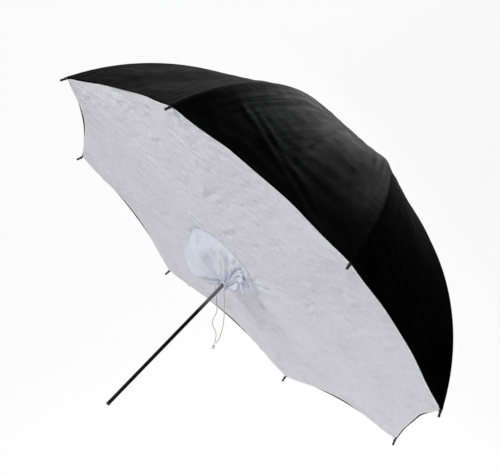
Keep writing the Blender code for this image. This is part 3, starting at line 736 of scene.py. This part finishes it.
def build_diffuser(white):
    for index in range(RIB_COUNT):

        def surface(share, across, depth, index=index):
            return diffuser_points(index, share, across, depth)

        def measure(share, across, index=index):
            place = diffuser_points(index, share, across, 0.0)
            rim = diffuser_points(index, np.ones_like(share), across, 0.0)
            from_rim = np.linalg.norm(rim[..., :2] - place[..., :2], axis=-1)
            turn = index * RIB_STEP
            aside = -place[..., 0] * math.sin(turn) + place[..., 1] * math.cos(turn)
            return np.stack([aside, from_rim], -1)

        name = f"diffuser_front_{index + 1}"
        mesh = cloth_mesh(name, surface, DIFFUSER_SHARES, GORE_PLACES, -DIFFUSER_THICKNESS, measure)
        sheet = add_object(name, mesh, white, white)
        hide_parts(f"diffuser_panel_{index + 1}")
        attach(sheet, f"diffuser_section_{index + 1}")
        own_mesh(sheet)


# ---------------------------------------------------------------- sleeve and drawstring

def through(before, start, end, after, t):
    """A point on the smooth curve through four given ones, between the middle two."""
    return 0.5 * (
        2 * start
        + (end - before) * t
        + (2 * before - 5 * start + 4 * end - after) * t**2
        + (3 * start - before - 3 * end + after) * t**3
    )


def around(ring, turn):
    """Points on a smooth closed curve through a ring of points, at a turn in radians."""
    place = np.mod(turn / math.tau, 1) * len(ring)
    at = np.floor(place).astype(int)
    corners = (ring[(at + step) % len(ring)] for step in (-1, 0, 1, 2))
    return through(*corners, (place - at)[..., None])


def sleeve_points(share, turn):
    """The sock: from its sewn base on the diffuser, over its fold and in to the drawstring, then the
    frill past it."""
    ring = np.stack([np.cos(turn), np.sin(turn), np.zeros_like(turn)], -1)
    base = ring * SLEEVE_BASE_RADIUS
    base = base + [*SLEEVE_BASE_CENTRE, -DIFFUSER_DISH - SLEEVE_THICKNESS]
    fold = around(SLEEVE_FOLD, turn)
    shoulder = base + (fold - base) * SLEEVE_SHOULDER_REACH
    drawn = ring * DRAWN_RADIUS + [0, 0, DRAWN_HEIGHT]
    frill = ring * FRILL_RADIUS + [0, 0, FRILL_HEIGHT]
    rows = np.stack([2 * base - shoulder, base, shoulder, fold, drawn, frill, 2 * frill - drawn])
    reach = np.interp(share, SLEEVE_ROW_SHARES, range(5))
    at = np.minimum(np.floor(reach).astype(int), 3)
    spots = np.indices(at.shape)
    corners = (rows[(at + step, *spots)] for step in range(4))
    points = through(*corners, (reach - at)[..., None])
    outward = ring + [0, 0, -0.8]
    pleat = 0.6 * np.sin(13 * turn + 1.5 * np.sin(2 * turn + 1) + 1.4 * share)
    pleat += 0.4 * np.sin(23 * turn + 2.0 * np.sin(3 * turn) + 3.0 * share)
    narrow = smooth_step(0.75, 0.93, share)
    amount = (0.0007 + 0.0045 * smooth_step(0.03, 0.6, share)) * pleat * (1 - 0.6 * narrow)
    soft = waves(0.06 * np.cos(turn), 0.06 * np.sin(turn) + share * 0.09, 0.045, 71)
    amount += 0.0016 * np.sin(math.pi * share) * soft
    slack = smooth_step(-0.2, 1.0, -np.cos(turn - 0.3))
    crumple = np.sin(math.tau * (2.6 * share + 0.15 * np.sin(5 * turn)))
    upright = np.sin(11 * turn + 1.2 * np.sin(4 * share * math.tau))
    amount += 0.0038 * slack * np.sin(math.pi * share) * (crumple + 1.3 * upright)
    high_side = smooth_step(0.1, 1.0, np.cos(turn - 0.55))
    hanging = np.sin(17 * turn + 1.6 * np.sin(2.6 * share * math.pi))
    amount += 0.0030 * high_side * np.sin(math.pi * share) * hanging
    fine = waves(0.08 * np.cos(turn), 0.08 * np.sin(turn) + share * 0.10, 0.016, 73, 2.5, 24)
    amount += 0.0012 * np.sin(math.pi * share) * fine
    amount += 0.0022 * smooth_step(0.94, 1.0, share) * np.sin(9 * turn + 2 * np.sin(2 * turn))
    amount = amount * smooth_step(0, 0.06, share)
    return points + outward * amount[..., None]


def sleeve_mesh(name):
    """The sock as a closed skin: its outer wall, then an inner wall a thickness inside it."""
    shares = np.linspace(0, 1, SLEEVE_RINGS)
    turns = np.linspace(0, math.tau, SLEEVE_SIDES, endpoint=False)
    share, turn = np.meshgrid(shares, turns, indexing="ij")
    number = np.arange(share.size).reshape(share.shape)
    beside = np.roll(number, -1, axis=1)
    faces = np.stack([number[:-1], beside[:-1], beside[1:], number[1:]], -1).reshape(-1, 4)
    open_mesh = bpy.data.meshes.new(name)
    points = world(sleeve_points(share, turn).reshape(-1, 3))
    open_mesh.from_pydata(points.tolist(), [], faces[:, ::-1].tolist())
    uv = open_mesh.uv_layers.new(name="cloth")
    corners = np.array([loop.vertex_index for loop in open_mesh.loops])
    flat = np.stack([turn * SLEEVE_BASE_RADIUS, 0.05 + share * 0.1], -1).reshape(-1, 2)
    uv.data.foreach_set("uv", flat[corners].ravel())
    holder = bpy.data.objects.new(name, open_mesh)
    bpy.context.scene.collection.objects.link(holder)
    skin = holder.modifiers.new("skin", "SOLIDIFY")
    skin.thickness = SLEEVE_THICKNESS
    skin.offset = -1
    graph = bpy.context.evaluated_depsgraph_get()
    made = bpy.data.meshes.new_from_object(holder.evaluated_get(graph))
    bpy.data.objects.remove(holder)
    made.shade_smooth()
    return made


def build_sleeve(white):
    mesh = sleeve_mesh("sleeve_sock")
    sock = add_object("sleeve_sock", mesh, white)
    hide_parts("sleeve")
    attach(sock, "root")
    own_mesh(sock)


def smooth_path(points, count):
    """Points spread evenly along a smooth curve through the given ones."""
    spread = [Vector(point) for point in points]
    spread = [2 * spread[0] - spread[1]] + spread + [2 * spread[-1] - spread[-2]]
    dense = []
    for before, start, end, after in zip(spread, spread[1:], spread[2:], spread[3:]):
        for step in range(CORD_STEPS):
            dense.append(through(before, start, end, after, step / CORD_STEPS))
    dense.append(spread[-2])
    lengths = [0.0]
    for one, two in zip(dense, dense[1:]):
        lengths.append(lengths[-1] + (two - one).length)
    even = []
    at = 0
    for step in range(count):
        target = lengths[-1] * step / (count - 1)
        while at < len(lengths) - 2 and lengths[at + 1] < target:
            at += 1
        share = (target - lengths[at]) / (lengths[at + 1] - lengths[at])
        even.append(dense[at].lerp(dense[at + 1], min(share, 1.0)))
    return even, lengths[-1]


def tube_mesh(name, path, radius, sides):
    """A closed round tube with flat ends along a path, with no twist."""
    points = np.array([list(point) for point in path])
    ahead = np.gradient(points, axis=0)
    ahead /= np.linalg.norm(ahead, axis=1)[:, None]
    side = np.cross(ahead[0], [0.3, 0.5, 0.81])
    verts, rings = [], []
    for index, (point, direction) in enumerate(zip(points, ahead)):
        side = side - direction * side.dot(direction)
        side /= np.linalg.norm(side)
        other = np.cross(direction, side)
        size = radius[index] if hasattr(radius, "__len__") else radius
        ring = []
        for turn in range(sides):
            angle = math.tau * turn / sides
            ring.append(len(verts))
            verts.append(point + size * (math.cos(angle) * side + math.sin(angle) * other))
        rings.append(ring)
    faces = []
    for ring, after in zip(rings, rings[1:]):
        for turn in range(sides):
            nxt = (turn + 1) % sides
            faces.append((ring[turn], ring[nxt], after[nxt], after[turn]))
    faces.append(tuple(reversed(rings[0])))
    faces.append(tuple(rings[-1]))
    mesh = bpy.data.meshes.new(name)
    mesh.from_pydata([list(vert) for vert in verts], [], faces)
    return finish_mesh(mesh, 60)


def knot_path():
    """An overhand knot, pulled tight."""
    turns = []
    for step in range(KNOT_POINTS):
        t = -0.25 + math.tau * step / KNOT_POINTS * 0.94
        x = KNOT_SIZE * (math.sin(t) + 1.6 * math.sin(2 * t)) * 0.62
        y = KNOT_SIZE * math.sin(3 * t) * 0.9
        z = 0.0017 * (math.cos(t) - 1.6 * math.cos(2 * t)) * 0.68
        turns.append(KNOT_CENTRE + Vector((x, y, z)))
    return turns


def build_drawstring(finish):
    thick = CORD_DIAMETER / 2
    knot = add_object("drawstring_knot_tied", tube_mesh("knot", knot_path(), thick, 10), finish)
    tails = []
    for index, reach in enumerate(TAIL_REACHES):
        bend = TAIL_START + Vector(reach) * 0.55 + Vector((0.0008, 0, -0.0008))
        path, _ = smooth_path([TAIL_START, bend, TAIL_START + Vector(reach)], TAIL_POINTS)
        radius = [thick * (1 - 0.35 * step / (TAIL_POINTS - 1)) for step in range(TAIL_POINTS)]
        name = f"drawstring_tail_{index + 1}"
        tails.append(add_object(name, tube_mesh(name, path, radius, 10), finish))
    for piece in (knot, *tails):
        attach(piece, "root")
    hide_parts("drawstring_knot")
    for name, route, with_pieces in (
        ("left", CORD_LEFT, [knot, tails[0]]),
        ("right", CORD_RIGHT, [tails[1]]),
    ):
        path, length = smooth_path(route, CORD_POINTS)
        curve = bpy.data.curves.new(f"drawstring_{name}_cord", "CURVE")
        curve.dimensions = "3D"
        curve.bevel_depth = thick
        curve.bevel_resolution = 3
        curve.use_fill_caps = True
        spline = curve.splines.new("POLY")
        spline.points.add(len(path) - 1)
        for spot, point in zip(spline.points, path):
            spot.co = (*point, 1)
        strand = add_object(f"drawstring_{name}_cord", curve, finish)
        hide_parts(f"drawstring_{name}")
        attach(strand, "root")


# ---------------------------------------------------------------- hardware


def refined(node, name, body, finish, bevel=0.0, segments=2, angle=30):
    """A finer copy of a frame node: its edges rounded and its round faces smooth."""
    mesh = frame["nodes"][node].data.copy()
    mesh.materials.clear()
    fix = bmesh.new()
    fix.from_mesh(mesh)
    bmesh.ops.remove_doubles(fix, verts=fix.verts, dist=1e-6)
    bmesh.ops.dissolve_limit(fix, angle_limit=math.radians(1), verts=fix.verts, edges=fix.edges)
    if bevel:
        edges = [
            edge
            for edge in fix.edges
            if len(edge.link_faces) == 2 and edge.calc_face_angle(0) > math.radians(angle)
        ]
        bmesh.ops.bevel(
            fix,
            geom=edges,
            offset=bevel,
            segments=segments,
            affect="EDGES",
            profile=0.6,
            clamp_overlap=True,
        )
    bmesh.ops.recalc_face_normals(fix, faces=fix.faces)
    fix.to_mesh(mesh)
    fix.free()
    mesh.shade_smooth()
    mesh.set_sharp_from_angle(angle=math.radians(angle + 8))
    piece = add_object(name, mesh, finish)
    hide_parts(node)
    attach(piece, body)
    return piece


def turned_mesh(name, profile, sides):
    """A turned solid about the umbrella's z axis. The profile is radius and height, a closed loop or
    starting and ending on the axis."""
    on_axis = profile[0][0] == 0 and profile[-1][0] == 0
    fix = bmesh.new()
    verts = [fix.verts.new((radius, 0, height)) for radius, height in profile]
    pairs = list(zip(verts, verts[1:] + verts[:1]))
    edges = [fix.edges.new(pair) for pair in (pairs[:-1] if on_axis else pairs)]
    bmesh.ops.spin(
        fix, geom=verts + edges, cent=(0, 0, 0), axis=(0, 0, 1), angle=math.tau, steps=sides
    )
    bmesh.ops.remove_doubles(fix, verts=fix.verts, dist=1e-7)
    bmesh.ops.recalc_face_normals(fix, faces=fix.faces)
    mesh = bpy.data.meshes.new(name)
    fix.to_mesh(mesh)
    fix.free()
    mesh.shade_smooth()
    mesh.set_sharp_from_angle(angle=math.radians(38))
    return mesh


def rib_points():
    """Centre line of a rib in its own plane: distance from the shaft and height."""
    hub = HUB_PIVOT_RADIUS / DOME_RADIUS
    angles = np.linspace(hub, RIM_ANGLE + RIB_PAST_RIM / DOME_RADIUS, 72)
    past_hub = np.maximum(0, DOME_RADIUS * angles - HUB_PIVOT_RADIUS)
    drop = RIB_UNDER_FABRIC + RIB_DROP_AT_HUB * np.exp(-past_hub / RIB_DROP_FADE)
    radius = (DOME_RADIUS - drop) * np.sin(angles)
    return radius, (DOME_RADIUS - drop) * np.cos(angles) - DOME_CENTRE_DROP


def build_ribs(black_steel, plastic):
    radius, height = rib_points()
    socket = RIB_RADIUS + 0.0003
    nose, rounding = 0.0004, 0.0022
    profile = [(socket, TIP_START), (socket, RIB_PAST_RIM), (nose, RIB_PAST_RIM + 0.0003)]
    for step in range(9):
        angle = math.pi / 2 * step / 8
        height_here = TIP_LENGTH - rounding + rounding * math.cos(angle)
        profile.append((nose + rounding * math.sin(angle), height_here))
    profile += [(0.00262, TIP_LENGTH - 0.0048), (0.0022, TIP_LENGTH - 0.0062)]
    profile += [(0.0024, 0.0056), (0.0031, 0.0048), (0.0032, 0.0034), (0.0029, 0.0022)]
    profile += [(0.0027, TIP_START + 0.0002), (0.0025, TIP_START)]
    for index in range(RIB_COUNT):
        turn = index * RIB_STEP
        path = np.stack([radius * math.cos(turn), radius * math.sin(turn), height], -1)
        number, body = index + 1, f"rib_assembly_{index + 1}"
        rod_mesh = tube_mesh(f"rib_rod_{number}", world(path), RIB_RADIUS, 12)
        rod = add_object(f"rib_rod_{number}", rod_mesh, black_steel)
        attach(rod, body)
        eye = refined(f"rib_{number}", f"rib_eye_{number}", body, black_steel)
        cut_to_eye(eye, index)
        cap = add_object(f"rib_end_cap_{number}", turned_mesh("cap", profile, 28), plastic)
        drop = DOME_RADIUS - RIB_UNDER_FABRIC
        rim = (drop * math.sin(RIM_ANGLE), 0, drop * math.cos(RIM_ANGLE) - DOME_CENTRE_DROP)
        to_rib = Matrix(TO_WORLD.tolist()).to_4x4() @ Matrix.Rotation(turn, 4, "Z")
        outwards = Matrix.Rotation(math.pi / 2 + RIM_ANGLE, 4, "Y")
        cap.data.transform(to_rib @ Matrix.Translation(rim) @ outwards)
        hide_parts(f"rib_tip_{number}")
        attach(cap, body)


def cut_to_eye(piece, index):
    """Keeps only the flat eye at the rib's hub end; the rod is its own smoother piece."""
    turn = index * RIB_STEP
    hub = world([HUB_PIVOT_RADIUS * math.cos(turn), HUB_PIVOT_RADIUS * math.sin(turn), 0])
    radial = world([math.cos(turn), math.sin(turn), 0])
    fix = bmesh.new()
    fix.from_mesh(piece.data)
    geometry = list(fix.verts) + list(fix.edges) + list(fix.faces)
    cut = bmesh.ops.bisect_plane(
        fix,
        geom=geometry,
        plane_co=Vector(hub) + Vector(radial) * EYE_REACH,
        plane_no=Vector(radial),
        clear_outer=True,
    )
    loop = [item for item in cut["geom_cut"] if isinstance(item, bmesh.types.BMEdge)]
    bmesh.ops.holes_fill(fix, edges=loop)
    bmesh.ops.recalc_face_normals(fix, faces=fix.faces)
    fix.to_mesh(piece.data)
    fix.free()


def build_hardware(finishes):
    plastic, steel = finishes["plastic"], finishes["steel"]
    refined("notch", "notch_hub", "root", plastic, 0.0004)
    refined("notch_wire", "notch_ring_wire", "root", steel, angle=70)
    refined("runner", "runner_hub", "runner", plastic, 0.0004)
    aluminium = finishes["aluminium"]
    refined("runner_stop", "runner_stop_collar", "root", aluminium, 0.0003)
    refined("catch_spring", "catch_tongue", "catch", steel, 0.0002)
    refined("top_cap", "crown_cap", "root", plastic, 0.0005, 3, 24)
    refined("shaft_end_plug", "shaft_plug", "root", plastic, 0.0004, 3, 24)
    refined("shaft", "shaft_tube", "root", finishes["shaft"])
    for index in range(1, RIB_COUNT + 1):
        body, clip, bar = f"rib_assembly_{index}", f"rib_clip_{index}", f"stretcher_{index}"
        refined(clip, f"rib_fork_{index}", body, steel, 0.0002)
        arm = f"stretcher_arm_{index}"
        refined(bar, f"stretcher_bar_{index}", arm, steel, 0.0003)


# ---------------------------------------------------------------- stage, light and camera

def build_stage():
    """A pale floor that curves up into a plain wall behind the object."""
    heading = math.radians(CAMERA_HEADING_DEG)
    forward = Vector((math.sin(heading), math.cos(heading), 0))
    side = Vector((forward.y, -forward.x, 0))
    bend = WALL_BEND
    profile = [(FLOOR_START, 0.0)]
    for step in range(WALL_BEND_STEPS + 1):
        angle = math.pi / 2 * step / WALL_BEND_STEPS
        profile.append((WALL_DISTANCE - bend + bend * math.sin(angle), bend - bend * math.cos(angle)))
    profile.append((WALL_DISTANCE, WALL_HEIGHT))
    verts, faces = [], []
    for along, up in profile:
        for aside in (-STAGE_LEFT, STAGE_RIGHT):
            verts.append(forward * along + side * aside + Vector((0, 0, FLOOR_HEIGHT + up)))
    for row in range(len(profile) - 1):
        faces.append((2 * row, 2 * row + 1, 2 * row + 3, 2 * row + 2))
    mesh = bpy.data.meshes.new("studio_cyclorama")
    mesh.from_pydata(verts, [], faces)
    mesh.shade_smooth()
    add_object("studio_cyclorama", mesh, stage_material())


def add_light(name, place, aim, size, energy, colour=(1, 1, 1)):
    light = bpy.data.lights.new(name, "AREA")
    light.shape = "RECTANGLE"
    light.size, light.size_y = size
    light.energy = energy
    light.color = colour
    made = bpy.data.objects.new(name, light)
    made.location = place
    made.rotation_euler = (Vector(aim) - Vector(place)).to_track_quat("-Z", "Y").to_euler()
    bpy.context.scene.collection.objects.link(made)


def build_light():
    world_light = bpy.data.worlds.new("studio")
    bpy.context.scene.world = world_light
    world_light.use_nodes = True
    tree = world_light.node_tree
    background = tree.nodes["Background"]
    background.inputs["Color"].default_value = (0.97, 0.98, 1.0, 1)
    place = tree.nodes.new("ShaderNodeTexCoord")
    towards = tree.nodes.new("ShaderNodeVectorMath")
    towards.operation = "DOT_PRODUCT"
    towards.inputs[1].default_value = (-0.72, -0.62, -0.31)
    tree.links.new(place.outputs["Generated"], towards.inputs[0])
    fade = tree.nodes.new("ShaderNodeMapRange")
    for name, value in (("From Min", -0.55), ("From Max", 0.45), ("To Min", 0.02), ("To Max", 0.10)):
        fade.inputs[name].default_value = value
    tree.links.new(towards.outputs["Value"], fade.inputs["Value"])
    tree.links.new(fade.outputs["Result"], background.inputs["Strength"])
    add_light("light_sheen", (1.72, 0.92, 1.84), (0, 0, 0.1), (1.9, 1.4), 70)
    add_light("light_key_left", (-2.1, -1.26, 1.25), (0, 0, 0), (0.6, 0.6), 46)
    add_light("light_wall", (0.9, 1.6, 2.6), (1.4, 3.1, -0.2), (4.0, 1.0), 26)


def build_camera():
    lens = bpy.data.cameras.new("camera")
    lens.lens = CAMERA_LENS_MM
    lens.sensor_width = 36
    made = bpy.data.objects.new("camera", lens)
    made.location = CAMERA_PLACE
    made.rotation_euler = (math.pi / 2, 0, -math.radians(CAMERA_HEADING_DEG))
    bpy.context.scene.collection.objects.link(made)
    bpy.context.scene.camera = made


def main():
    bpy.context.scene.view_settings.view_transform = "Standard"
    build_camera()
    build_stage()
    build_light()
    cord = cord_material()
    build_drawstring(cord)
    build_canopy(canopy_material(), lining_material())
    hem = (0.80, 0.80, 0.82)
    low, high = (0.685, 0.68, 0.735), (0.72, 0.715, 0.77)
    build_diffuser(white_cloth_material("diffuser_white", low, high, hem, DIFFUSER_HEM, 0.0030))
    low, high = (0.66, 0.69, 0.78), (0.71, 0.74, 0.83)
    build_sleeve(white_cloth_material("sleeve_white", low, high, hem, 0, 0.0010))
    dark, light = (0.02, 0.02, 0.022), (0.05, 0.05, 0.052)
    finishes = {
        "plastic": plastic_material("plastic_black", (0.018, 0.018, 0.019), (0.06, 0.06, 0.062)),
        "steel": metal_material("steel_nickel", (0.50, 0.50, 0.52), (0.68, 0.68, 0.70), 0.30),
        "steel_black": metal_material("steel_black", dark, light, 0.42, 0.7),
        "shaft": shaft_material(),
        "aluminium": metal_material("aluminium", (0.42, 0.43, 0.45), (0.58, 0.59, 0.61), 0.30),
    }
    build_ribs(finishes["steel_black"], finishes["plastic"])
    build_hardware(finishes)


main()
